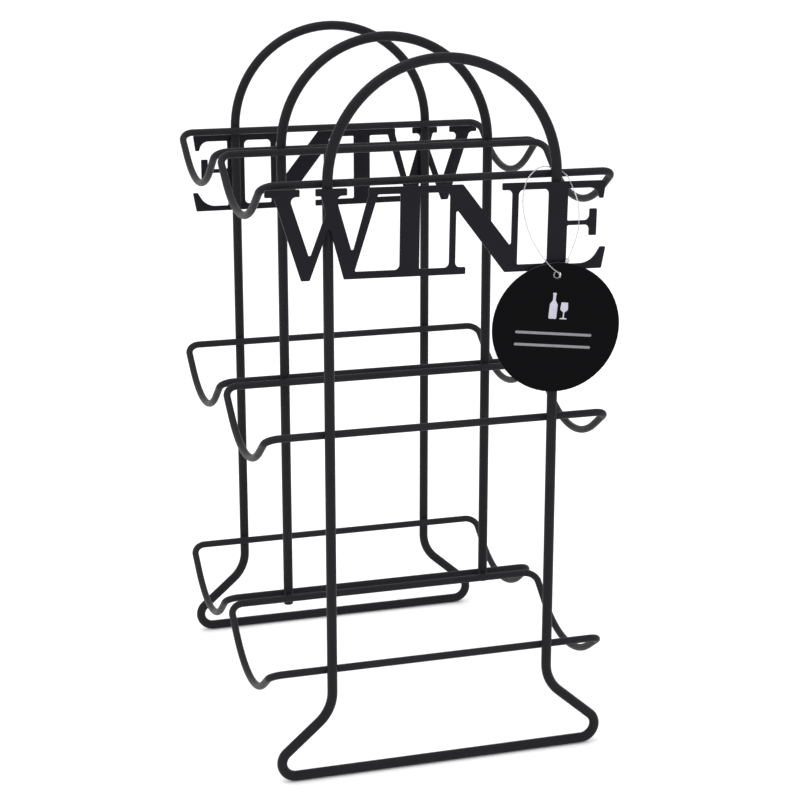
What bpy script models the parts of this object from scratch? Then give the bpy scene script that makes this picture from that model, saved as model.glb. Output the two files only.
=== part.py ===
"""Welded wire rack for six bottles, three tiers high and two bottles deep, with a round tag on a nylon loop.

Units are metres and +Z is up. The bottles lie along X. The front is -Y.
The origin is on the floor, midway between the uprights and midway between the front and back arches.
"""

import math

import bpy
from mathutils import Vector

MM = 0.001

# Frame of three arches
HEIGHT = 0.380  # top of the front and back arches
ARCH_WIDTH = 0.119  # upright to upright, centre to centre
ARCH_PITCH = 0.111  # front arch to middle arch, and middle arch to back arch
FRAME_WIRE = 0.0054
FOOT_HALF_WIDTH = 0.0887  # centre line, at the outermost point of the foot
FOOT_CORNER_RADIUS = 0.0078
FLARE_ANGLE = math.radians(41.0)  # slope of the flared leg above the floor
FLARE_RADIUS = 0.022
MIDDLE_LEG_END = 0.0555
MIDDLE_RISE = 0.0020  # the middle arch and the rails welded to it sit this much higher
MIDDLE_SHIFT = 0.0018  # and the middle arch this much to the right
LEFT_LEG_EXTRA = 0.0016  # the middle arch's left leg is this much longer
FRONT_ARCH_EXTRA = 0.0014  # the front arch's left upright stands this much further out

# Bottle cradles
CRADLE_WIRE = 0.0040
CRADLE_HALF_LENGTH = 0.093
LOWEST_RAIL = 0.059
TIER_PITCH = 0.129
DIP_ANGLE = math.radians(35.5)  # slope of the dip's two limbs
DIP_RADIUS = 0.059
CRADLE_CORNER_RADIUS = 0.007

# Word plates, cut from sheet
PLATE_THICKNESS = 0.0012
PLATE_BOTTOM = 0.2695
PLATE_SHIFT = -0.0035  # along the word, which sets two of its stems in front of the uprights
FRONT_PLATE_TILT = math.radians(0.85)  # its right end is low
BACK_PLATE_DROP = 0.0012  # the back plate sits this much lower
LETTER_HEIGHT = 45.5  # mm, as all of the letters' own sizes
BAR = 3.6  # serifs and the bars that join the letters
FOOT_BAR = 2.9  # the last letter's lower arm
SOFT = 0.6  # radius of an outside corner
NOTCH = 0.8  # radius of an inside corner between two strokes
BRACKET = 2.6  # radius between a stem and its serif

# Tag and its loop
TAG_RADIUS = 0.034
TAG_THICKNESS = 0.0006
TAG_HOLE_RADIUS = 0.0022
TAG_HOLE_DROP = 0.0065  # hole centre below the tag's top edge
TAG_HOLE = Vector((0.0580, -0.1182, 0.2665))
TAG_TURN = math.radians(-5.0)
LOOP_DIAMETER = 0.0006
LOOP_POINTS = 80
BEAD_DIAMETER = 0.0020
BEAD_TOP = Vector((0.0646, -0.1170, 0.2747))
BEAD_BOTTOM = Vector((0.0629, -0.1168, 0.2710))

# Fineness of the solids
GAP = 0.0003  # between touching pieces
WIRE_SIDES = 8
ARC_STEP = math.radians(16.0)
SMALL_ARC_STEP = math.radians(30.0)

# Each wire is an octagon whose flats are one wire diameter apart
ACROSS_CORNERS = 1.0 / math.cos(math.pi / WIRE_SIDES)
RAIL_OFFSET = FRAME_WIRE / 2 + CRADLE_WIRE / 2 + GAP  # a rail's centre line from its arch's plane
TIERS = ("bottom", "middle", "top")


def clear_scene():
    for obj in list(bpy.data.objects):
        bpy.data.objects.remove(obj, do_unlink=True)


def make_collection(name):
    collection = bpy.data.collections.new(name)
    bpy.context.scene.collection.children.link(collection)
    return collection


def make_material(name, color, roughness, metallic=0.0, alpha=1.0):
    material = bpy.data.materials.new(name)
    material.use_nodes = True
    shader = material.node_tree.nodes["Principled BSDF"]
    shader.inputs["Base Color"].default_value = (*color, 1.0)
    shader.inputs["Roughness"].default_value = roughness
    shader.inputs["Metallic"].default_value = metallic
    shader.inputs["Alpha"].default_value = alpha
    return material


def frame_paint():
    return make_material("frame_paint", (0.018, 0.018, 0.020), 0.42)


def cradle_paint():
    return make_material("cradle_paint", (0.020, 0.020, 0.022), 0.40)


def plate_paint():
    return make_material("plate_paint", (0.019, 0.018, 0.025), 0.50)


def tag_card():
    return make_material("tag_card", (0.006, 0.006, 0.007), 0.80)


def loop_nylon():
    return make_material("loop_nylon", (0.85, 0.86, 0.87), 0.25, alpha=0.5)


def rounded(corners, radii, closed, step):
    """The line through the corners with each one rounded to its radius, as points."""
    points = []
    count = len(corners)
    for i, corner in enumerate(corners):
        if radii[i] == 0 or (not closed and i in (0, count - 1)):
            points.append(corner.copy())
            continue
        back = (corners[i - 1] - corner).normalized()
        ahead = (corners[(i + 1) % count] - corner).normalized()
        half_angle = back.angle(ahead) / 2
        centre = corner + (back + ahead).normalized() * radii[i] / math.sin(half_angle)
        inward = (centre - corner).normalized()
        sideways = (ahead - back).normalized()
        turn = math.pi - 2 * half_angle
        steps = max(2, math.ceil(turn / step))
        for k in range(steps + 1):
            angle = turn * (k / steps - 0.5)
            points.append(centre + radii[i] * (math.sin(angle) * sideways - math.cos(angle) * inward))
    kept = [p for i, p in enumerate(points) if i == 0 or (p - points[i - 1]).length > 1e-6]
    if closed and (kept[0] - kept[-1]).length < 1e-6:
        kept.pop()
    return kept


def add_spline(curve, points, closed):
    spline = curve.splines.new("POLY")
    spline.points.add(len(points) - 1)
    for target, point in zip(spline.points, points):
        target.co = (*point, 1.0)
    spline.use_cyclic_u = closed
    return spline


def wire_curve(name, points, closed, diameter):
    """A wire along the points. Its octagon keeps two flats level with the curve's own XY plane."""
    curve = bpy.data.curves.new(name, "CURVE")
    curve.dimensions = "3D"
    curve.twist_mode = "Z_UP"
    curve.bevel_depth = diameter / 2 * ACROSS_CORNERS
    curve.bevel_resolution = 2
    curve.use_fill_caps = True
    spline = add_spline(curve, points, closed)
    for point in spline.points:
        point.tilt = math.pi / WIRE_SIDES
    spline.use_smooth = True
    return curve


def sheet_curve(name, loops, thickness):
    """A flat sheet in the curve's own XY plane, from one outline and the holes in it."""
    curve = bpy.data.curves.new(name, "CURVE")
    curve.dimensions = "2D"
    curve.fill_mode = "BOTH"
    curve.extrude = thickness / 2
    for points in loops:
        add_spline(curve, points, True)
    return curve


def place(name, data, material, collection, location, rotation=(0.0, 0.0, 0.0)):
    obj = bpy.data.objects.new(name, data)
    if not data.materials:
        data.materials.append(material)
    obj.location = location
    obj.rotation_euler = rotation
    collection.objects.link(obj)
    return obj


def arch_corners(leg_end, extra=0.0):
    """One arch's corners from the left leg's end, over the top, to the right leg's end."""
    side = ARCH_WIDTH / 2
    top = HEIGHT - FRAME_WIRE / 2
    return [
        Vector((-side - extra, leg_end, 0)),
        Vector((-side - extra, top, 0)),
        Vector((side, top, 0)),
        Vector((side, leg_end, 0)),
    ]


def footed_arch_curve(name, extra=0.0):
    """A closed hoop: semicircular top, uprights, legs that flare out, and a run along the floor."""
    floor = FRAME_WIRE / 2
    foot = FOOT_HALF_WIDTH - FOOT_CORNER_RADIUS + FOOT_CORNER_RADIUS / math.tan(FLARE_ANGLE / 2)
    knee = floor + (foot - ARCH_WIDTH / 2) * math.tan(FLARE_ANGLE)
    corners = arch_corners(knee, extra)
    corners[0].y -= extra * math.tan(FLARE_ANGLE)
    corners += [Vector((foot, floor, 0)), Vector((-foot, floor, 0))]
    arc = (ARCH_WIDTH + extra) / 2
    radii = [FLARE_RADIUS, arc, arc, FLARE_RADIUS, FOOT_CORNER_RADIUS, FOOT_CORNER_RADIUS]
    return wire_curve(name, rounded(corners, radii, True, ARC_STEP), True, FRAME_WIRE)


def middle_arch_curve():
    """An inverted U whose legs end just under the lowest rails."""
    arc = ARCH_WIDTH / 2
    corners = arch_corners(MIDDLE_LEG_END)
    corners[0].y -= LEFT_LEG_EXTRA
    points = rounded(corners, [0, arc, arc, 0], False, ARC_STEP)
    return wire_curve("middle_arch", points, False, FRAME_WIRE)


def cradle_curve():
    """Two rails along X, joined at each end by a wide dip that holds the bottle."""
    half_depth = ARCH_PITCH / 2 - RAIL_OFFSET
    dip = half_depth * math.tan(DIP_ANGLE)
    corners = []
    for side in (1, -1):
        x = side * CRADLE_HALF_LENGTH
        corners.append(Vector((x, -side * half_depth, 0)))
        corners.append(Vector((x, 0, -dip)))
        corners.append(Vector((x, side * half_depth, 0)))
    radii = [CRADLE_CORNER_RADIUS, DIP_RADIUS, CRADLE_CORNER_RADIUS] * 2
    return wire_curve("cradle", rounded(corners, radii, True, ARC_STEP), True, CRADLE_WIRE)


def outline(corners):
    """A rounded loop in metres from corners given as (x, y, radius) in millimetres."""
    points = [Vector((x * MM, y * MM, 0)) for x, y, _ in corners]
    return rounded(points, [radius * MM for _, _, radius in corners], True, SMALL_ARC_STEP)


def word_outline():
    """The outer edge of the four joined letters, clockwise from the first letter's top left corner."""
    top = LETTER_HEIGHT
    low = top - BAR
    first_letter_top = [
        (-90.6, top, SOFT),
        (-73.0, top, SOFT),
        (-73.0, low, SOFT),
        (-78.4, low, BRACKET),
        (-67.9, 10.8, NOTCH),
        (-59.7, 33.2, NOTCH),
        (-62.2, low, NOTCH),
        (-65.0, low, SOFT),
        (-65.0, top, SOFT),
        (-49.0, top, SOFT),
        (-49.0, low, SOFT),
        (-54.9, low, BRACKET),
        (-46.1, 12.5, NOTCH),
        (-37.9, low, SOFT),
        (-37.9, top, SOFT),
    ]
    third_letter_top = [
        (11.1, top, SOFT),
        (37.4, 12.7, NOTCH),
        (37.4, low, BRACKET),
        (31.9, low, SOFT),
        (31.9, top, SOFT),
    ]
    last_letter = [
        (88.0, top, SOFT),
        (86.8, 36.4, SOFT),
        (84.6, 36.4, SOFT),
        (82.8, low, 2 * BRACKET),
        (67.4, low, NOTCH),
        (67.4, 25.2, NOTCH),
        (79.5, 25.2, BRACKET),
        (79.5, 31.1, SOFT),
        (83.5, 31.1, SOFT),
        (83.5, 17.3, SOFT),
        (79.5, 17.3, SOFT),
        (79.5, 22.9, BRACKET),
        (67.4, 22.9, NOTCH),
        (67.4, FOOT_BAR, NOTCH),
        (81.0, FOOT_BAR, 4 * BRACKET),
        (86.0, 11.2, SOFT),
        (89.0, 11.2, SOFT),
        (87.0, 0.0, SOFT),
    ]
    lower_edge = [
        (34.1, 0.0, SOFT),
        (7.6, 33.6, NOTCH),
        (7.6, BAR, BRACKET),
        (13.1, BAR, SOFT),
        (13.1, 0.0, SOFT),
        (-50.4, 0.0, SOFT),
        (-58.0, 27.1, NOTCH),
        (-67.9, 0.0, SOFT),
        (-72.2, 0.0, SOFT),
        (-86.0, low, BRACKET),
        (-90.6, low, SOFT),
    ]
    return outline(first_letter_top + third_letter_top + last_letter + lower_edge)


def word_windows():
    """The three closed windows between letters that share a bar above and below."""
    low = LETTER_HEIGHT - BAR
    slanted = [(-33.2, low, NOTCH), (-21.6, low, NOTCH), (-21.6, BAR, BRACKET), (-45.0, BAR, NOTCH)]
    square = [(-11.4, low, NOTCH), (4.4, low, BRACKET), (4.4, BAR, BRACKET), (-11.4, BAR, NOTCH)]
    narrow = [(40.7, low, BRACKET), (57.0, low, BRACKET), (57.0, BAR, BRACKET), (40.7, BAR, NOTCH)]
    return [outline(window) for window in (slanted, square, narrow)]


def circle(radius, steps, centre=(0.0, 0.0)):
    angles = [2 * math.pi * i / steps for i in range(steps)]
    return [Vector((centre[0] + radius * math.cos(a), centre[1] + radius * math.sin(a), 0)) for a in angles]


def tag_curve():
    """A round card with a punched hole. Its own origin is the hole's centre."""
    drop = TAG_RADIUS - TAG_HOLE_DROP
    card = circle(TAG_RADIUS, 64, (0.0, -drop))
    hole = circle(TAG_HOLE_RADIUS, 20)
    return sheet_curve("hang_tag", [card, hole], TAG_THICKNESS)


def loop_route():
    """The loop from the bead's top, up and round behind the right upright, down and back through the tag."""
    route = [
        BEAD_TOP / MM,
        (66.1, -117.1, 278.6),
        (67.9, -117.1, 283.5),
        (69.2, -117.1, 287.8),
        (69.8, -117.1, 293.0),
        (69.7, -117.0, 298.5),
        (69.0, -116.9, 303.4),
        (67.3, -116.6, 308.6),
        (65.4, -116.2, 312.8),
        (64.5, -115.8, 315.0),
        (63.8, -114.4, 316.7),
        (63.2, -111.4, 317.8),
        (62.4, -108.3, 318.8),
        (59.9, -107.2, 319.7),
        (57.2, -108.0, 320.2),
        (55.2, -110.4, 321.1),
        (51.2, -113.0, 321.8),
        (47.1, -115.2, 321.0),
        (44.0, -116.6, 319.2),
        (41.3, -117.3, 316.2),
        (39.8, -117.5, 312.2),
        (39.0, -117.6, 307.4),
        (39.1, -117.7, 302.2),
        (40.0, -117.8, 297.2),
        (42.1, -118.0, 290.3),
        (45.2, -118.3, 283.4),
        (49.7, -118.9, 276.6),
        (53.4, -119.4, 272.0),
        (55.6, -119.6, 269.9),
        (57.4, -119.4, 268.6),
        (58.6, -118.9, 267.8),
        (59.3, -118.1, 267.1),
        (60.0, -117.3, 266.2),
        (59.8, -117.0, 265.2),
        (58.7, -116.8, 264.6),
        (57.5, -116.7, 265.0),
        (57.0, -116.6, 266.2),
        (57.5, -116.5, 267.5),
        (58.9, -116.4, 268.8),
        (60.8, -116.5, 269.9),
        BEAD_BOTTOM / MM,
    ]
    return [Vector(point) * MM for point in route]


def smooth_line(route, count):
    """Points evenly spaced along a smooth curve through the route's points."""
    ends = [2 * route[0] - route[1], *route, 2 * route[-1] - route[-2]]
    fine = []
    for a, b, c, d in zip(ends, ends[1:], ends[2:], ends[3:]):
        for i in range(24):
            t = i / 24
            fine.append(
                b + t * (c - a) / 2 + t * t * (a - 2.5 * b + 2 * c - d / 2) + t**3 * (1.5 * (b - c) + (d - a) / 2)
            )
    fine.append(route[-1])
    reached = [0.0]
    for a, b in zip(fine, fine[1:]):
        reached.append(reached[-1] + (b - a).length)
    points = []
    i = 0
    for k in range(count):
        wanted = reached[-1] * k / (count - 1)
        while i < len(fine) - 2 and reached[i + 1] < wanted:
            i += 1
        points.append(fine[i].lerp(fine[i + 1], (wanted - reached[i]) / (reached[i + 1] - reached[i])))
    return points


def loop_curve():
    curve = bpy.data.curves.new("tag_loop", "CURVE")
    curve.dimensions = "3D"
    curve.bevel_depth = LOOP_DIAMETER / 2
    curve.bevel_resolution = 2
    curve.use_fill_caps = True
    add_spline(curve, smooth_line(loop_route(), LOOP_POINTS), False).use_smooth = True
    return curve


def bead_mesh():
    """A short barrel that both ends of the loop meet, lying between them."""
    length = (BEAD_TOP - BEAD_BOTTOM).length - 3 * GAP
    bpy.ops.mesh.primitive_cylinder_add(vertices=16, radius=BEAD_DIAMETER / 2, depth=length)
    made = bpy.context.object
    mesh = made.data
    bpy.data.objects.remove(made, do_unlink=True)
    mesh.name = "loop_bead"
    return mesh


def add_arches(collection):
    paint = frame_paint()
    upright = (math.radians(90), 0, 0)
    front = footed_arch_curve("front_arch", FRONT_ARCH_EXTRA)
    back = footed_arch_curve("back_arch")
    place("front_arch", front, paint, collection, (0, -ARCH_PITCH, 0), upright)
    place("middle_arch", middle_arch_curve(), paint, collection, (MIDDLE_SHIFT, 0, MIDDLE_RISE), upright)
    place("back_arch", back, paint, collection, (0, ARCH_PITCH, 0), upright)


def add_cradles(collection):
    paint = cradle_paint()
    cradle = cradle_curve()
    lean = math.asin(MIDDLE_RISE / (ARCH_PITCH - 2 * RAIL_OFFSET))
    for level, tier in enumerate(TIERS):
        height = LOWEST_RAIL + level * TIER_PITCH + MIDDLE_RISE / 2
        for end, side in (("front", -1), ("back", 1)):
            location = (0, side * ARCH_PITCH / 2, height)
            place(f"cradle_{tier}_{end}", cradle, paint, collection, location, (-side * lean, 0, 0))


def add_word_plates(collection):
    plate = sheet_curve("word_plate", [word_outline(), *word_windows()], PLATE_THICKNESS)
    paint = plate_paint()
    out = ARCH_PITCH + FRAME_WIRE / 2 + GAP + PLATE_THICKNESS / 2
    upright = math.radians(90)
    front = (PLATE_SHIFT, -out, PLATE_BOTTOM)
    back = (-PLATE_SHIFT, out, PLATE_BOTTOM - BACK_PLATE_DROP)
    place("word_plate_front", plate, paint, collection, front, (upright, FRONT_PLATE_TILT, 0))
    place("word_plate_back", plate, paint, collection, back, (upright, 0, math.pi))


def add_tag(collection):
    turn = (math.radians(90), 0, TAG_TURN)
    place("hang_tag", tag_curve(), tag_card(), collection, TAG_HOLE, turn)
    nylon = loop_nylon()
    place("tag_loop", loop_curve(), nylon, collection, (0, 0, 0))
    middle = (BEAD_TOP + BEAD_BOTTOM) / 2
    along = (BEAD_TOP - BEAD_BOTTOM).to_track_quat("Z", "Y").to_euler()
    place("loop_bead", bead_mesh(), nylon, collection, middle, along)


def main():
    clear_scene()
    collection = make_collection("wine_rack")
    add_arches(collection)
    add_cradles(collection)
    add_word_plates(collection)
    add_tag(collection)


main()
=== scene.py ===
"""Looks of the wire wine rack: round wires, welds, cut-out word plates and the hang tag on its nylon loop."""

import math

import bmesh
import bpy
from mathutils import Matrix, Vector, noise


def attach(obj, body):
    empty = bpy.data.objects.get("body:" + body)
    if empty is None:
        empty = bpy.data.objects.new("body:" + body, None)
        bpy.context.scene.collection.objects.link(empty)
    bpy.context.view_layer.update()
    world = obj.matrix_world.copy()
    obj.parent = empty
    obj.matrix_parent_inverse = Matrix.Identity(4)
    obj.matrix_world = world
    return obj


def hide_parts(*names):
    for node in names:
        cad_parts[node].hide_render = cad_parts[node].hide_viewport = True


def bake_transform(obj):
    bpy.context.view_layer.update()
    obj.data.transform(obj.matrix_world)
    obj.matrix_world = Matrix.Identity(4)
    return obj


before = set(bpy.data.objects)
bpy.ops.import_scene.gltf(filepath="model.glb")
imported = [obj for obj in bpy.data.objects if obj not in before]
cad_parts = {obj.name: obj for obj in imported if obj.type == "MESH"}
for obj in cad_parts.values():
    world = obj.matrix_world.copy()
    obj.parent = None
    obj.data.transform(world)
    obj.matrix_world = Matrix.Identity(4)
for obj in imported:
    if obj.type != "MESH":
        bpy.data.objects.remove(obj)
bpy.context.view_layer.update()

MM = 0.001

# The part's own sizes, in metres
HEIGHT = 0.380
ARCH_WIDTH = 0.119
ARCH_PITCH = 0.111
FRAME_WIRE = 0.0054
FOOT_HALF_WIDTH = 0.0887
FOOT_CORNER_RADIUS = 0.0078
FLARE_ANGLE = math.radians(41.0)
FLARE_RADIUS = 0.022
MIDDLE_LEG_END = 0.0555
MIDDLE_RISE = 0.0020
MIDDLE_SHIFT = 0.0018
LEFT_LEG_EXTRA = 0.0016
FRONT_ARCH_EXTRA = 0.0014
CRADLE_WIRE = 0.0040
CRADLE_HALF_LENGTH = 0.093
LOWEST_RAIL = 0.059
TIER_PITCH = 0.129
DIP_ANGLE = math.radians(35.5)
DIP_RADIUS = 0.059
CRADLE_CORNER_RADIUS = 0.007
PLATE_THICKNESS = 0.0012
PLATE_BOTTOM = 0.2695
BACK_PLATE_DROP = 0.0012
PLATE_SHIFT = -0.0035
FRONT_PLATE_TILT = math.radians(0.85)
LETTER_HEIGHT = 45.5
BAR = 3.6
FOOT_BAR = 2.9
SOFT = 0.6
NOTCH = 0.8
BRACKET = 2.6
TAG_RADIUS = 0.034
TAG_THICKNESS = 0.0006
TAG_HOLE_DROP = 0.0065
TAG_HOLE = Vector((0.0580, -0.1182, 0.2665))
TAG_TURN = math.radians(-5.0)
LOOP_DIAMETER = 0.0006
BEAD_DIAMETER = 0.0020
BEAD_TOP = Vector((0.0646, -0.1170, 0.2747))
BEAD_BOTTOM = Vector((0.0629, -0.1168, 0.2710))
GAP = 0.0003
RAIL_OFFSET = FRAME_WIRE / 2 + CRADLE_WIRE / 2 + GAP
TIERS = ("bottom", "middle", "top")
RAIL_HEIGHTS = [LOWEST_RAIL + level * TIER_PITCH for level in range(3)]

# How finely the shown pieces are made
ARC_STEP = math.radians(4.0)
SMALL_ARC_STEP = math.radians(9.0)
LONGEST_STEP = 0.012  # along a straight stretch of wire
WIRE_SIDES = 24
LOOP_STEP = 0.0005
LOOP_SIDES = 12
BEAD_SIDES = 20

# Finishing details, in metres
PLATE_EDGE = 0.00016  # rounding that the paint leaves on the cut edge
TAG_EDGE = 0.00008
RAIL_WELD = (0.0022, 0.0012, 0.0021)  # half sizes along X, Y and Z
PLATE_WELD = (0.0019, 0.0006, 0.0022)
WELD_LUMPS = 0.10  # share of a weld's size
CUT_END = ((0.0, 0.80), (0.00012, 0.90), (0.00035, 0.97), (0.0008, 1.0))  # height, share of the wire's radius

# The lock bead's outline up to its waist: share of its length, share of its radius
BEAD_PROFILE = ((0.02, 0.30), (0.03, 0.62), (0.07, 0.84), (0.16, 0.97), (0.30, 1.0), (0.44, 0.93), (0.5, 0.88))

# The tag's print, in millimetres. The bottle and glass are right halves, as (x, y, radius) from their feet
PRINT_TILT = math.radians(-5.5)
PRINT_LIFT = 0.000012  # metres off the card
PRINT_BAR_LENGTH = 41.0
PRINT_BAR_HEIGHT = 1.4
BOTTLE = (
    (2.1, 0.0, 0.5),
    (2.1, 7.6, 1.2),
    (0.75, 9.6, 0.8),
    (0.75, 12.6, 0.1),
    (0.95, 12.7, 0.1),
    (0.95, 13.6, 0.2),
)
GLASS = (
    (1.9, 0.0, 0.1),
    (1.9, 0.45, 0.1),
    (0.32, 0.75, 0.4),
    (0.32, 3.6, 0.5),
    (2.1, 5.0, 1.4),
    (1.75, 8.8, 0.1),
)

# Camera and studio
LENS = 85.74
CAMERA_POSITION = (-0.29564, -1.01021, 0.46240)
CAMERA_PITCH = math.radians(-15.328)
CAMERA_YAW = math.radians(-16.829)
WORLD_STRENGTH = 1.12
SOFTBOX_POSITION = (-0.5, -0.2, 1.7)
SOFTBOX_TARGET = (0, 0, 0.15)
SOFTBOX_SIZE = 1.6
SOFTBOX_WATTS = 9
FLOOR_RADIUS = 14.0
FLOOR_DROP = 0.00015  # keeps the floor off the feet's own surface


# ---------------------------------------------------------------- camera and light


def add_camera():
    data = bpy.data.cameras.new("camera")
    data.sensor_width = 36.0
    data.lens = LENS
    data.clip_end = 100.0
    camera = bpy.data.objects.new("camera", data)
    camera.location = CAMERA_POSITION
    camera.rotation_euler = (math.radians(90) + CAMERA_PITCH, 0.0, CAMERA_YAW)
    bpy.context.scene.collection.objects.link(camera)
    bpy.context.scene.camera = camera


def add_softbox():
    data = bpy.data.lights.new("overhead_softbox", "AREA")
    data.shape = "DISK"
    data.size = SOFTBOX_SIZE
    data.energy = SOFTBOX_WATTS
    light = bpy.data.objects.new("overhead_softbox", data)
    light.location = SOFTBOX_POSITION
    aim = Vector(SOFTBOX_TARGET) - Vector(SOFTBOX_POSITION)
    light.rotation_euler = aim.to_track_quat("-Z", "Y").to_euler()
    bpy.context.scene.collection.objects.link(light)


def add_studio():
    """White surroundings, one soft light overhead and a pale paper floor."""
    world = bpy.data.worlds.new("studio")
    world.use_nodes = True
    background = world.node_tree.nodes["Background"]
    background.inputs["Color"].default_value = (1.0, 1.0, 1.0, 1.0)
    background.inputs["Strength"].default_value = WORLD_STRENGTH
    bpy.context.scene.world = world
    add_softbox()
    bpy.context.scene.view_settings.view_transform = "Standard"

    floor = bpy.data.meshes.new("floor")
    built = bmesh.new()
    bmesh.ops.create_circle(built, cap_ends=True, segments=64, radius=FLOOR_RADIUS)
    built.to_mesh(floor)
    built.free()
    floor.materials.append(floor_paper())
    sheet = bpy.data.objects.new("studio_floor", floor)
    sheet.location = (0, 0, -FLOOR_DROP)
    bpy.context.scene.collection.objects.link(sheet)


# ---------------------------------------------------------------- materials


class Paint:
    """A material's node tree, with a short way to add a node and wire it up."""

    # A Mix node repeats its socket names for numbers and colours, so its colour sockets go by number
    MIX_INPUTS = (0, 6, 7)
    MIX_RESULT = 2

    def __init__(self, name):
        self.material = bpy.data.materials.new(name)
        self.material.use_nodes = True
        self.tree = self.material.node_tree
        self.shader = self.tree.nodes["Principled BSDF"]
        self.at = self.add("ShaderNodeTexCoord").outputs["Object"]

    def add(self, kind, inputs=(), **settings):
        node = self.tree.nodes.new(kind)
        for key, value in settings.items():
            setattr(node, key, value)
        for key, value in dict(inputs).items():
            if isinstance(value, bpy.types.NodeSocket):
                self.tree.links.new(value, node.inputs[key])
            else:
                node.inputs[key].default_value = value
        return node

    def noise(self, size, detail=2.0, roughness=0.5, distortion=0.0):
        """Noise whose blobs are about size metres across, from 0 to 1."""
        inputs = {
            "Vector": self.at,
            "Scale": 1.0 / size,
            "Detail": detail,
            "Roughness": roughness,
            "Distortion": distortion,
        }
        return self.add("ShaderNodeTexNoise", inputs).outputs["Fac"]

    def ramp(self, value, stops):
        """Maps value through colour stops, each (position, grey or colour)."""
        node = self.add("ShaderNodeValToRGB", {"Fac": value})
        elements = node.color_ramp.elements
        while len(elements) < len(stops):
            elements.new(0.5)
        for element, (position, color) in zip(elements, stops):
            element.position = position
            element.color = (*color, 1.0) if isinstance(color, tuple) else (color, color, color, 1.0)
        return node.outputs["Color"]

    def mix(self, factor, a, b):
        """Blends from colour a, where factor is 0, to colour b, where it is 1."""
        node = self.add("ShaderNodeMix", data_type="RGBA")
        for number, value in zip(self.MIX_INPUTS, (factor, a, b)):
            if isinstance(value, bpy.types.NodeSocket):
                self.tree.links.new(value, node.inputs[number])
            else:
                node.inputs[number].default_value = (*value, 1.0)
        return node.outputs[self.MIX_RESULT]

    def math(self, operation, a, b=0.0):
        return self.add("ShaderNodeMath", {0: a, 1: b}, operation=operation).outputs[0]

    def bump(self, height, depth, after=None):
        """Raises the surface by depth metres where height is 1."""
        inputs = {"Height": height, "Distance": depth, "Strength": 1.0}
        if after is not None:
            inputs["Normal"] = after
        return self.add("ShaderNodeBump", inputs).outputs["Normal"]

    def facing(self, axis):
        """How squarely the surface faces along the object's own axis, from 0 to 1."""
        normal = self.add("ShaderNodeTexCoord").outputs["Normal"]
        parts = self.add("ShaderNodeSeparateXYZ", {"Vector": normal})
        return self.math("ABSOLUTE", parts.outputs[axis])

    def wire(self, **sockets):
        """Feeds the shader's inputs, whose names are written with _ for a space."""
        for key, value in sockets.items():
            socket = self.shader.inputs[key.replace("_", " ")]
            if isinstance(value, bpy.types.NodeSocket):
                self.tree.links.new(value, socket)
            else:
                socket.default_value = value
        return self.material


def floor_paper():
    paint = Paint("studio_paper")
    tone = paint.ramp(paint.noise(0.9, 3.0), [(0.3, 0.93), (0.7, 0.96)])
    grain = paint.bump(paint.noise(0.0012, 3.0), 0.00003)
    paint.shader.inputs["Specular IOR Level"].default_value = 0.1
    paint.shader.inputs["Emission Strength"].default_value = 0.09
    return paint.wire(Base_Color=tone, Emission_Color=tone, Roughness=0.9, Normal=grain)


def powder_coat(name, dark, light, shine, peel=0.00001):
    """Satin powder coat: cloudy near-black with fine specks, an orange-peel skin and uneven gloss."""
    paint = Paint(name)
    clouds = paint.noise(0.016, 4.0, 0.6)
    specks = paint.ramp(paint.noise(0.00035, 2.0, 0.7), [(0.55, 0.0), (0.75, 1.0)])
    color = paint.mix(clouds, dark, light)
    fine = paint.mix(paint.math("MULTIPLY", specks, 0.5), color, tuple(2.2 * c for c in light))
    gloss = paint.ramp(paint.noise(0.0024, 3.0, 0.6), [(0.25, 0.36), (0.75, 0.48)])
    skin = paint.bump(paint.noise(0.0011, 2.0, 0.5, 0.3), peel)
    skin = paint.bump(paint.noise(0.00028, 2.0), peel * 0.25, skin)
    paint.shader.inputs["Specular IOR Level"].default_value = shine
    return paint.wire(Base_Color=fine, Roughness=gloss, Normal=skin)


def frame_paint():
    return powder_coat("frame_powder_coat", (0.0088, 0.0086, 0.0104), (0.0136, 0.0133, 0.0158), shine=0.08)


def cradle_paint():
    return powder_coat("cradle_powder_coat", (0.0124, 0.0121, 0.0140), (0.0178, 0.0174, 0.0200), shine=0.06)


def plate_paint():
    dark = (0.0040, 0.0036, 0.0066)
    light = (0.0066, 0.0061, 0.0100)
    return powder_coat("plate_powder_coat", dark, light, shine=0.13, peel=0.000014)


def card():
    """Laminated black card with a paler cut edge."""
    paint = Paint("tag_card")
    fibres = paint.noise(0.0006, 4.0, 0.65)
    face = paint.mix(fibres, (0.0014, 0.0014, 0.0019), (0.0024, 0.0024, 0.0030))
    core = paint.mix(paint.noise(0.0004, 3.0), (0.05, 0.05, 0.055), (0.12, 0.12, 0.125))
    rim = paint.ramp(paint.facing(1), [(0.4, 1.0), (0.8, 0.0)])
    skin = paint.bump(paint.noise(0.00025, 3.0), 0.000005)
    paint.shader.inputs["Specular IOR Level"].default_value = 0.05
    gloss = paint.ramp(fibres, [(0.3, 0.56), (0.7, 0.68)])
    return paint.wire(Base_Color=paint.mix(rim, face, core), Roughness=gloss, Normal=skin)


def ink(name, low, high):
    """Screen-printed ink, a little uneven where the card's grain shows through."""
    paint = Paint(name)
    cover = paint.noise(0.00030, 3.0, 0.7)
    patches = paint.noise(0.003, 2.0)
    tone = paint.mix(paint.math("MULTIPLY", cover, patches), low, high)
    skin = paint.bump(cover, 0.000004)
    return paint.wire(Base_Color=tone, Roughness=0.55, Normal=skin)


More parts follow.
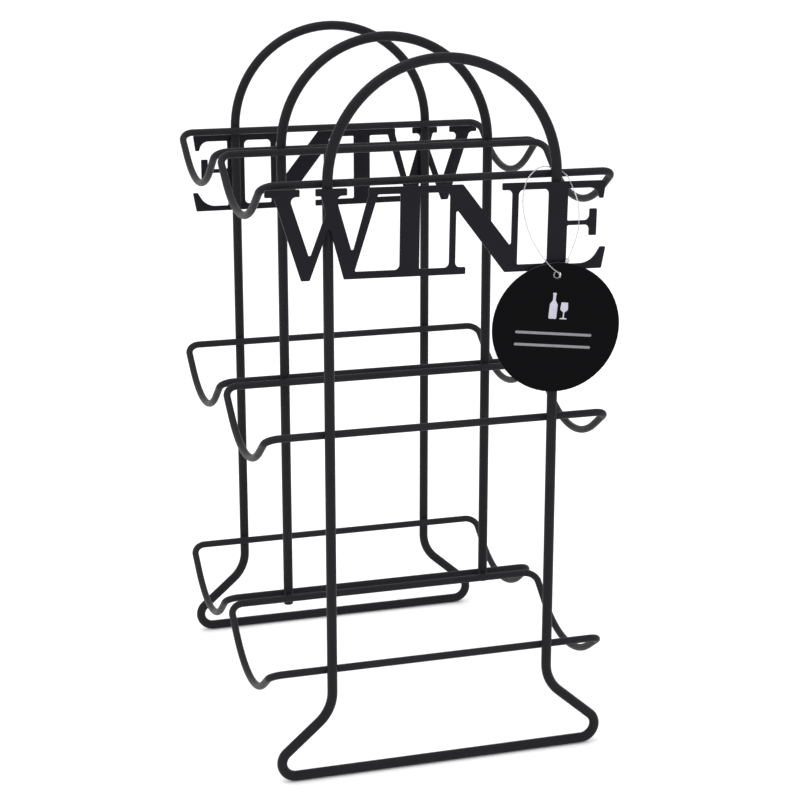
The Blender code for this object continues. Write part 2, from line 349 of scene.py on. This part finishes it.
def nylon():
    """Clear monofilament, faintly cloudy, with a fine bumpy skin."""
    paint = Paint("clear_nylon")
    cloud = paint.mix(paint.noise(0.0015, 3.0), (0.62, 0.62, 0.65), (0.80, 0.80, 0.83))
    gloss = paint.ramp(paint.noise(0.0008, 2.0), [(0.3, 0.22), (0.7, 0.34)])
    skin = paint.bump(paint.noise(0.0006, 2.0), 0.000003)
    paint.shader.inputs["Transmission Weight"].default_value = 0.72
    paint.shader.inputs["IOR"].default_value = 1.45
    return paint.wire(Base_Color=cloud, Roughness=gloss, Normal=skin)


# ---------------------------------------------------------------- lines


def rounded(corners, radii, closed, step):
    """The line through the corners with each one rounded to its radius, as points."""
    points = []
    count = len(corners)
    for i, corner in enumerate(corners):
        if radii[i] == 0 or (not closed and i in (0, count - 1)):
            points.append(corner.copy())
            continue
        back = (corners[i - 1] - corner).normalized()
        ahead = (corners[(i + 1) % count] - corner).normalized()
        half_angle = back.angle(ahead) / 2
        centre = corner + (back + ahead).normalized() * radii[i] / math.sin(half_angle)
        inward = (centre - corner).normalized()
        sideways = (ahead - back).normalized()
        turn = math.pi - 2 * half_angle
        steps = max(3, math.ceil(turn / step))
        for k in range(steps + 1):
            angle = turn * (k / steps - 0.5)
            points.append(centre + radii[i] * (math.sin(angle) * sideways - math.cos(angle) * inward))
    kept = [p for i, p in enumerate(points) if i == 0 or (p - points[i - 1]).length > 1e-6]
    if closed and (kept[0] - kept[-1]).length < 1e-6:
        kept.pop()
    return kept


def filled_in(points, closed):
    """The same line with its long straight stretches cut into even steps."""
    ends = points[1:] + points[:1] if closed else points[1:]
    fine = []
    for a, b in zip(points, ends):
        steps = max(1, math.ceil((b - a).length / LONGEST_STEP))
        fine += [a.lerp(b, i / steps) for i in range(steps)]
    if not closed:
        fine.append(points[-1])
    return fine


def smooth_line(route, spacing):
    """Points evenly spaced along a smooth curve through the route's points."""
    ends = [2 * route[0] - route[1], *route, 2 * route[-1] - route[-2]]
    fine = []
    for a, b, c, d in zip(ends, ends[1:], ends[2:], ends[3:]):
        for i in range(24):
            t = i / 24
            square = a - 2.5 * b + 2 * c - d / 2
            cube = 1.5 * (b - c) + (d - a) / 2
            fine.append(b + t * (c - a) / 2 + t * t * square + t**3 * cube)
    fine.append(route[-1])
    reached = [0.0]
    for a, b in zip(fine, fine[1:]):
        reached.append(reached[-1] + (b - a).length)
    count = round(reached[-1] / spacing) + 1
    points = []
    i = 0
    for k in range(count):
        wanted = reached[-1] * k / (count - 1)
        while i < len(fine) - 2 and reached[i + 1] < wanted:
            i += 1
        points.append(fine[i].lerp(fine[i + 1], (wanted - reached[i]) / (reached[i + 1] - reached[i])))
    return points, reached[-1]


# ---------------------------------------------------------------- meshes


def add_object(name, mesh, material):
    mesh.materials.append(material)
    obj = bpy.data.objects.new(name, mesh)
    bpy.context.scene.collection.objects.link(obj)
    return obj


def ring_frames(points, closed):
    """Tangent, and a cross direction that doesn't twist, at each point of a line."""
    count = len(points)
    tangents = []
    for i in range(count):
        before = points[i - 1] if closed or i > 0 else points[0]
        after = points[(i + 1) % count] if closed or i < count - 1 else points[-1]
        tangents.append((after - before).normalized())
    cross = tangents[0].orthogonal().normalized()
    crosses = [cross]
    for a, b in zip(tangents, tangents[1:]):
        cross = a.rotation_difference(b) @ cross
        crosses.append((cross - b * cross.dot(b)).normalized())
    if closed:
        last = tangents[-1].rotation_difference(tangents[0]) @ crosses[-1]
        twist = last.angle(crosses[0])
        if last.cross(crosses[0]).dot(tangents[0]) < 0:
            twist = -twist
        crosses = [
            Matrix.Rotation(twist * i / count, 3, t) @ c for i, (t, c) in enumerate(zip(tangents, crosses))
        ]
    return tangents, crosses


def sweep(name, points, radii, closed, sides, material):
    """A round tube along the points, with one radius for each."""
    built = bmesh.new()
    tangents, crosses = ring_frames(points, closed)
    rings = []
    for point, tangent, cross, radius in zip(points, tangents, crosses, radii):
        other = tangent.cross(cross)
        ring = []
        for k in range(sides):
            angle = 2 * math.pi * k / sides
            ring.append(built.verts.new(point + radius * (math.cos(angle) * cross + math.sin(angle) * other)))
        rings.append(ring)
    pairs = list(zip(rings, rings[1:])) + ([(rings[-1], rings[0])] if closed else [])
    for a, b in pairs:
        for k in range(sides):
            m = (k + 1) % sides
            built.faces.new((a[k], a[m], b[m], b[k])).smooth = True
    if not closed:
        built.faces.new(reversed(rings[0])).smooth = True
        built.faces.new(rings[-1]).smooth = True
    bmesh.ops.recalc_face_normals(built, faces=built.faces)
    mesh = bpy.data.meshes.new(name)
    built.to_mesh(mesh)
    built.free()
    return add_object(name, mesh, material)


def shown_for(obj, node, body="rack"):
    """obj stands for that CAD node, which is hidden, and moves with its body."""
    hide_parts(node)
    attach(obj, body)


# ---------------------------------------------------------------- arches and cradles


def arch_corners(leg_end, y, extra=0.0):
    """An arch's corners from the left leg's end to the right's, the left upright that much further out."""
    side = ARCH_WIDTH / 2
    top = HEIGHT - FRAME_WIRE / 2
    return [
        Vector((-side - extra, y, leg_end)),
        Vector((-side - extra, y, top)),
        Vector((side, y, top)),
        Vector((side, y, leg_end)),
    ]


def footed_arch(name, y, material, extra=0.0):
    """A closed hoop: semicircular top, uprights, flared legs and a run along the floor."""
    floor = FRAME_WIRE / 2
    foot = FOOT_HALF_WIDTH - FOOT_CORNER_RADIUS + FOOT_CORNER_RADIUS / math.tan(FLARE_ANGLE / 2)
    knee = floor + (foot - ARCH_WIDTH / 2) * math.tan(FLARE_ANGLE)
    corners = arch_corners(knee, y, extra)
    corners[0].z -= extra * math.tan(FLARE_ANGLE)
    corners += [Vector((foot, y, floor)), Vector((-foot, y, floor))]
    arc = (ARCH_WIDTH + extra) / 2
    radii = [FLARE_RADIUS, arc, arc, FLARE_RADIUS, FOOT_CORNER_RADIUS, FOOT_CORNER_RADIUS]
    line = filled_in(rounded(corners, radii, True, ARC_STEP), True)
    return sweep(name, line, [FRAME_WIRE / 2] * len(line), True, WIRE_SIDES, material)


def middle_arch(material):
    """The inverted U, with the cut ends of its legs rounded off by the paint."""
    arc = ARCH_WIDTH / 2
    stand = Vector((MIDDLE_SHIFT, 0, MIDDLE_RISE))
    corners = arch_corners(MIDDLE_LEG_END, 0)
    corners[0].z -= LEFT_LEG_EXTRA
    line = filled_in(rounded(corners, [0, arc, arc, 0], False, ARC_STEP), False)
    line = [point + stand for point in line]
    radii = [FRAME_WIRE / 2] * len(line)
    left = [line[0] + Vector((0, 0, rise)) for rise, _ in CUT_END]
    right = [line[-1] + Vector((0, 0, rise)) for rise, _ in reversed(CUT_END)]
    share = [FRAME_WIRE / 2 * part for _, part in CUT_END]
    line = left + line[1:-1] + right
    radii = share + radii[1:-1] + share[::-1]
    return sweep("middle_arch_wire", line, radii, False, WIRE_SIDES, material)


def cradle(name, end, z, material):
    """Two rails and the dips that join them, the rail beside the middle arch a little higher."""
    half_depth = ARCH_PITCH / 2 - RAIL_OFFSET
    dip = half_depth * math.tan(DIP_ANGLE)
    corners = []
    for side in (1, -1):
        x = side * CRADLE_HALF_LENGTH
        corners.append(Vector((x, -side * half_depth, 0)))
        corners.append(Vector((x, 0, -dip)))
        corners.append(Vector((x, side * half_depth, 0)))
    radii = [CRADLE_CORNER_RADIUS, DIP_RADIUS, CRADLE_CORNER_RADIUS] * 2
    line = filled_in(rounded(corners, radii, True, ARC_STEP), True)
    lean = Matrix.Rotation(-end * math.asin(MIDDLE_RISE / (2 * half_depth)), 4, "X")
    stand = Matrix.Translation((0, end * ARCH_PITCH / 2, z + MIDDLE_RISE / 2)) @ lean
    line = [stand @ point for point in line]
    return sweep(name, line, [CRADLE_WIRE / 2] * len(line), True, WIRE_SIDES, material)


def nugget(built, centre, size, seed):
    """One weld: a lumpy flattened bead at centre."""
    made = bmesh.ops.create_icosphere(built, subdivisions=3, radius=1.0)["verts"]
    for vert in made:
        way = vert.co.copy()
        lump = 1.0 + WELD_LUMPS * noise.noise(way * 1.7 + Vector((seed, 0, 0)))
        vert.co = Vector((way.x * size[0], way.y * size[1], way.z * size[2])) * lump + centre


def welds(name, places, size, material):
    """All the welds of one arch in one piece."""
    built = bmesh.new()
    for i, place in enumerate(places):
        nugget(built, Vector(place), size, 3.1 * i)
    for face in built.faces:
        face.smooth = True
    mesh = bpy.data.meshes.new(name)
    built.to_mesh(mesh)
    built.free()
    obj = add_object(name, mesh, material)
    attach(obj, "rack")


def add_wires(paint):
    front = footed_arch("front_arch_wire", -ARCH_PITCH, paint, FRONT_ARCH_EXTRA)
    shown_for(front, "front_arch")
    shown_for(middle_arch(paint), "middle_arch")
    shown_for(footed_arch("back_arch_wire", ARCH_PITCH, paint), "back_arch")
    rods = cradle_paint()
    for tier, height in zip(TIERS, RAIL_HEIGHTS):
        for place, side in (("front", -1), ("back", 1)):
            wire = cradle(f"cradle_{tier}_{place}_wire", side, height, rods)
            shown_for(wire, f"cradle_{tier}_{place}")


def add_welds(paint):
    """A weld at every crossing of rail and upright, and two for each plate on each upright."""
    side = ARCH_WIDTH / 2
    touch = FRAME_WIRE / 2 + GAP / 2
    joints = {
        "front": ([-ARCH_PITCH + touch], -side - FRONT_ARCH_EXTRA, side, 0),
        "middle": ([-touch, touch], -side + MIDDLE_SHIFT, side + MIDDLE_SHIFT, MIDDLE_RISE),
        "back": ([ARCH_PITCH - touch], -side, side, 0),
    }
    for name, (rows, left, right, rise) in joints.items():
        places = [(x, y, z + rise) for y in rows for x in (left, right) for z in RAIL_HEIGHTS]
        welds(f"rail_welds_{name}", places, RAIL_WELD, paint)
    for name, way, extra, drop in (("front", -1, FRONT_ARCH_EXTRA, 0.0), ("back", 1, 0.0, BACK_PLATE_DROP)):
        y = way * (ARCH_PITCH + touch)
        near = way * (side + extra)
        spots = [(near, 0.0300), (near, 0.0415), (-way * side, 0.004), (-way * side, 0.0415)]
        places = [(x, y, PLATE_BOTTOM - drop + z) for x, z in spots]
        welds(f"plate_welds_{name}", places, PLATE_WELD, paint)


# ---------------------------------------------------------------- word plates


def outline(corners):
    """A rounded loop in metres from corners given as (x, y, radius) in millimetres."""
    points = [Vector((x * MM, y * MM, 0)) for x, y, _ in corners]
    return rounded(points, [radius * MM for _, _, radius in corners], True, SMALL_ARC_STEP)


def word_outline():
    """The outer edge of the four joined letters, clockwise from the first letter's top left corner."""
    top = LETTER_HEIGHT
    low = top - BAR
    first_letter_top = [
        (-90.6, top, SOFT),
        (-73.0, top, SOFT),
        (-73.0, low, SOFT),
        (-78.4, low, BRACKET),
        (-67.9, 10.8, NOTCH),
        (-59.7, 33.2, NOTCH),
        (-62.2, low, NOTCH),
        (-65.0, low, SOFT),
        (-65.0, top, SOFT),
        (-49.0, top, SOFT),
        (-49.0, low, SOFT),
        (-54.9, low, BRACKET),
        (-46.1, 12.5, NOTCH),
        (-37.9, low, SOFT),
        (-37.9, top, SOFT),
    ]
    third_letter_top = [
        (11.1, top, SOFT),
        (37.4, 12.7, NOTCH),
        (37.4, low, BRACKET),
        (31.9, low, SOFT),
        (31.9, top, SOFT),
    ]
    last_letter = [
        (88.0, top, SOFT),
        (86.8, 36.4, SOFT),
        (84.6, 36.4, SOFT),
        (82.8, low, 2 * BRACKET),
        (67.4, low, NOTCH),
        (67.4, 25.2, NOTCH),
        (79.5, 25.2, BRACKET),
        (79.5, 31.1, SOFT),
        (83.5, 31.1, SOFT),
        (83.5, 17.3, SOFT),
        (79.5, 17.3, SOFT),
        (79.5, 22.9, BRACKET),
        (67.4, 22.9, NOTCH),
        (67.4, FOOT_BAR, NOTCH),
        (81.0, FOOT_BAR, 4 * BRACKET),
        (86.0, 11.2, SOFT),
        (89.0, 11.2, SOFT),
        (87.0, 0.0, SOFT),
    ]
    lower_edge = [
        (34.1, 0.0, SOFT),
        (7.6, 33.6, NOTCH),
        (7.6, BAR, BRACKET),
        (13.1, BAR, SOFT),
        (13.1, 0.0, SOFT),
        (-50.4, 0.0, SOFT),
        (-58.0, 27.1, NOTCH),
        (-67.9, 0.0, SOFT),
        (-72.2, 0.0, SOFT),
        (-86.0, low, BRACKET),
        (-90.6, low, SOFT),
    ]
    return outline(first_letter_top + third_letter_top + last_letter + lower_edge)


def word_windows():
    """The three closed windows between letters that share a bar above and below."""
    low = LETTER_HEIGHT - BAR
    slanted = [(-33.2, low, NOTCH), (-21.6, low, NOTCH), (-21.6, BAR, BRACKET), (-45.0, BAR, NOTCH)]
    square = [(-11.4, low, NOTCH), (4.4, low, BRACKET), (4.4, BAR, BRACKET), (-11.4, BAR, NOTCH)]
    narrow = [(40.7, low, BRACKET), (57.0, low, BRACKET), (57.0, BAR, BRACKET), (40.7, BAR, NOTCH)]
    return [outline(window) for window in (slanted, square, narrow)]


def sheet_mesh(name, loops, thickness, edge):
    """A flat sheet with softened edges, in its own XY plane, as a mesh."""
    curve = bpy.data.curves.new(name, "CURVE")
    curve.dimensions = "2D"
    curve.fill_mode = "BOTH"
    curve.extrude = thickness / 2 - edge
    curve.bevel_depth = edge
    curve.bevel_resolution = 2
    curve.offset = -edge
    for points in loops:
        spline = curve.splines.new("POLY")
        spline.points.add(len(points) - 1)
        for target, point in zip(spline.points, points):
            target.co = (*point, 1.0)
        spline.use_cyclic_u = True
    made = bpy.data.objects.new(name, curve)
    bpy.context.scene.collection.objects.link(made)
    bpy.context.view_layer.update()
    mesh = bpy.data.meshes.new_from_object(made.evaluated_get(bpy.context.evaluated_depsgraph_get()))
    bpy.data.objects.remove(made, do_unlink=True)
    built = bmesh.new()
    built.from_mesh(mesh)
    bmesh.ops.remove_doubles(built, verts=built.verts, dist=2e-6)
    for face in built.faces:
        face.smooth = True
    for side in built.edges:
        if len(side.link_faces) == 2 and side.calc_face_angle(0) > math.radians(50):
            side.smooth = False
    built.to_mesh(mesh)
    built.free()
    mesh.name = name
    return mesh


def add_word_plates():
    paint = plate_paint()
    out = ARCH_PITCH + FRAME_WIRE / 2 + GAP + PLATE_THICKNESS / 2
    sides = (("front", -1, 0.0, FRONT_PLATE_TILT, 0.0), ("back", 1, math.pi, 0.0, BACK_PLATE_DROP))
    for place, side, turn, tilt, drop in sides:
        mesh = sheet_mesh("word_plate", [word_outline(), *word_windows()], PLATE_THICKNESS, PLATE_EDGE)
        stand = Matrix.Translation((-side * PLATE_SHIFT, side * out, PLATE_BOTTOM - drop))
        lean = Matrix.Rotation(tilt, 4, "Y") @ Matrix.Rotation(math.radians(90), 4, "X")
        mesh.transform(stand @ Matrix.Rotation(turn, 4, "Z") @ lean)
        plate = add_object(f"word_plate_{place}_sheet", mesh, paint)
        shown_for(plate, f"word_plate_{place}")


# ---------------------------------------------------------------- tag, loop and bead


def loop_route():
    """From the bead's top, up and round behind the right upright, down and back through the tag."""
    route = [
        BEAD_TOP / MM,
        (66.1, -117.1, 278.6),
        (67.9, -117.1, 283.5),
        (69.2, -117.1, 287.8),
        (69.8, -117.1, 293.0),
        (69.7, -117.0, 298.5),
        (69.0, -116.9, 303.4),
        (67.3, -116.6, 308.6),
        (65.4, -116.2, 312.8),
        (64.5, -115.8, 315.0),
        (63.8, -114.4, 316.7),
        (63.2, -111.4, 317.8),
        (62.4, -108.3, 318.8),
        (59.9, -107.2, 319.7),
        (57.2, -108.0, 320.2),
        (55.2, -110.4, 321.1),
        (51.2, -113.0, 321.8),
        (47.1, -115.2, 321.0),
        (44.0, -116.6, 319.2),
        (41.3, -117.3, 316.2),
        (39.8, -117.5, 312.2),
        (39.0, -117.6, 307.4),
        (39.1, -117.7, 302.2),
        (40.0, -117.8, 297.2),
        (42.1, -118.0, 290.3),
        (45.2, -118.3, 283.4),
        (49.7, -118.9, 276.6),
        (53.4, -119.4, 272.0),
        (55.6, -119.6, 269.9),
        (57.4, -119.4, 268.6),
        (58.6, -118.9, 267.8),
        (59.3, -118.1, 267.1),
        (60.0, -117.3, 266.2),
        (59.8, -117.0, 265.2),
        (58.7, -116.8, 264.6),
        (57.5, -116.7, 265.0),
        (57.0, -116.6, 266.2),
        (57.5, -116.5, 267.5),
        (58.9, -116.4, 268.8),
        (60.8, -116.5, 269.9),
        BEAD_BOTTOM / MM,
    ]
    return [Vector(point) * MM for point in route]


def add_loop():
    clear = nylon()
    points, length = smooth_line(loop_route(), LOOP_STEP)
    loop = sweep("tag_loop_nylon", points, [LOOP_DIAMETER / 2] * len(points), False, LOOP_SIDES, clear)
    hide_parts("tag_loop")

    along = BEAD_TOP - BEAD_BOTTOM
    profile = [*BEAD_PROFILE, *((1 - at, size) for at, size in reversed(BEAD_PROFILE[:-1]))]
    places = [BEAD_BOTTOM + along * at for at, _ in profile]
    radii = [BEAD_DIAMETER / 2 * size for _, size in profile]
    bead = sweep("loop_bead_lock", places, radii, False, BEAD_SIDES, clear)
    shown_for(bead, "loop_bead", "tag")

    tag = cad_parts["hang_tag"]
    tag.data.materials.clear()
    tag.data.materials.append(card())
    edge = tag.modifiers.new("soft_edge", "BEVEL")
    edge.width = TAG_EDGE
    edge.segments = 2
    edge.limit_method = "ANGLE"
    edge.angle_limit = math.radians(40)

    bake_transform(loop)


def upright_outline(half, x, y):
    """A shape that is the same on both sides, from its right half's corners."""
    corners = [(x + a, y + b, r) for a, b, r in half]
    corners += [(x - a, y + b, r) for a, b, r in reversed(half)]
    return outline(corners)


def bar_outline(x, y):
    reach = PRINT_BAR_LENGTH / 2
    end = PRINT_BAR_HEIGHT * 0.45
    corners = [(x - reach, y, end), (x + reach, y, end)]
    corners += [(x + reach, y + PRINT_BAR_HEIGHT, end), (x - reach, y + PRINT_BAR_HEIGHT, end)]
    return outline(corners)


def add_print():
    """A plain bottle and glass over two bars, raised just off the card's front face."""
    centre = TAG_RADIUS - TAG_HOLE_DROP
    upright = Matrix.Rotation(math.radians(90), 4, "X")
    hang = Matrix.Translation(TAG_HOLE) @ Matrix.Rotation(TAG_TURN, 4, "Z") @ upright
    face = Matrix.Translation((0, -centre, TAG_THICKNESS / 2 + PRINT_LIFT))
    tilt = face @ Matrix.Rotation(PRINT_TILT, 4, "Z")
    pale = ink("pale_ink", (0.42, 0.41, 0.50), (0.68, 0.67, 0.78))
    grey = ink("grey_ink", (0.16, 0.16, 0.18), (0.34, 0.34, 0.37))
    prints = (
        ("print_bottle", upright_outline(BOTTLE, -2.6, 4.6), pale),
        ("print_glass", upright_outline(GLASS, 3.2, 4.6), pale),
        ("print_bar_upper", bar_outline(-1.0, -3.9), grey),
        ("print_bar_lower", bar_outline(-1.0, -10.3), grey),
    )
    for name, loop, material in prints:
        mesh = sheet_mesh(name, [loop], 2 * PRINT_LIFT, PRINT_LIFT / 4)
        mesh.transform(hang @ tilt)
        obj = add_object(name, mesh, material)
        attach(obj, "tag")


# ---------------------------------------------------------------- whole scene


add_camera()
add_loop()
add_print()
coat = frame_paint()
add_wires(coat)
add_welds(coat)
add_word_plates()
add_studio()
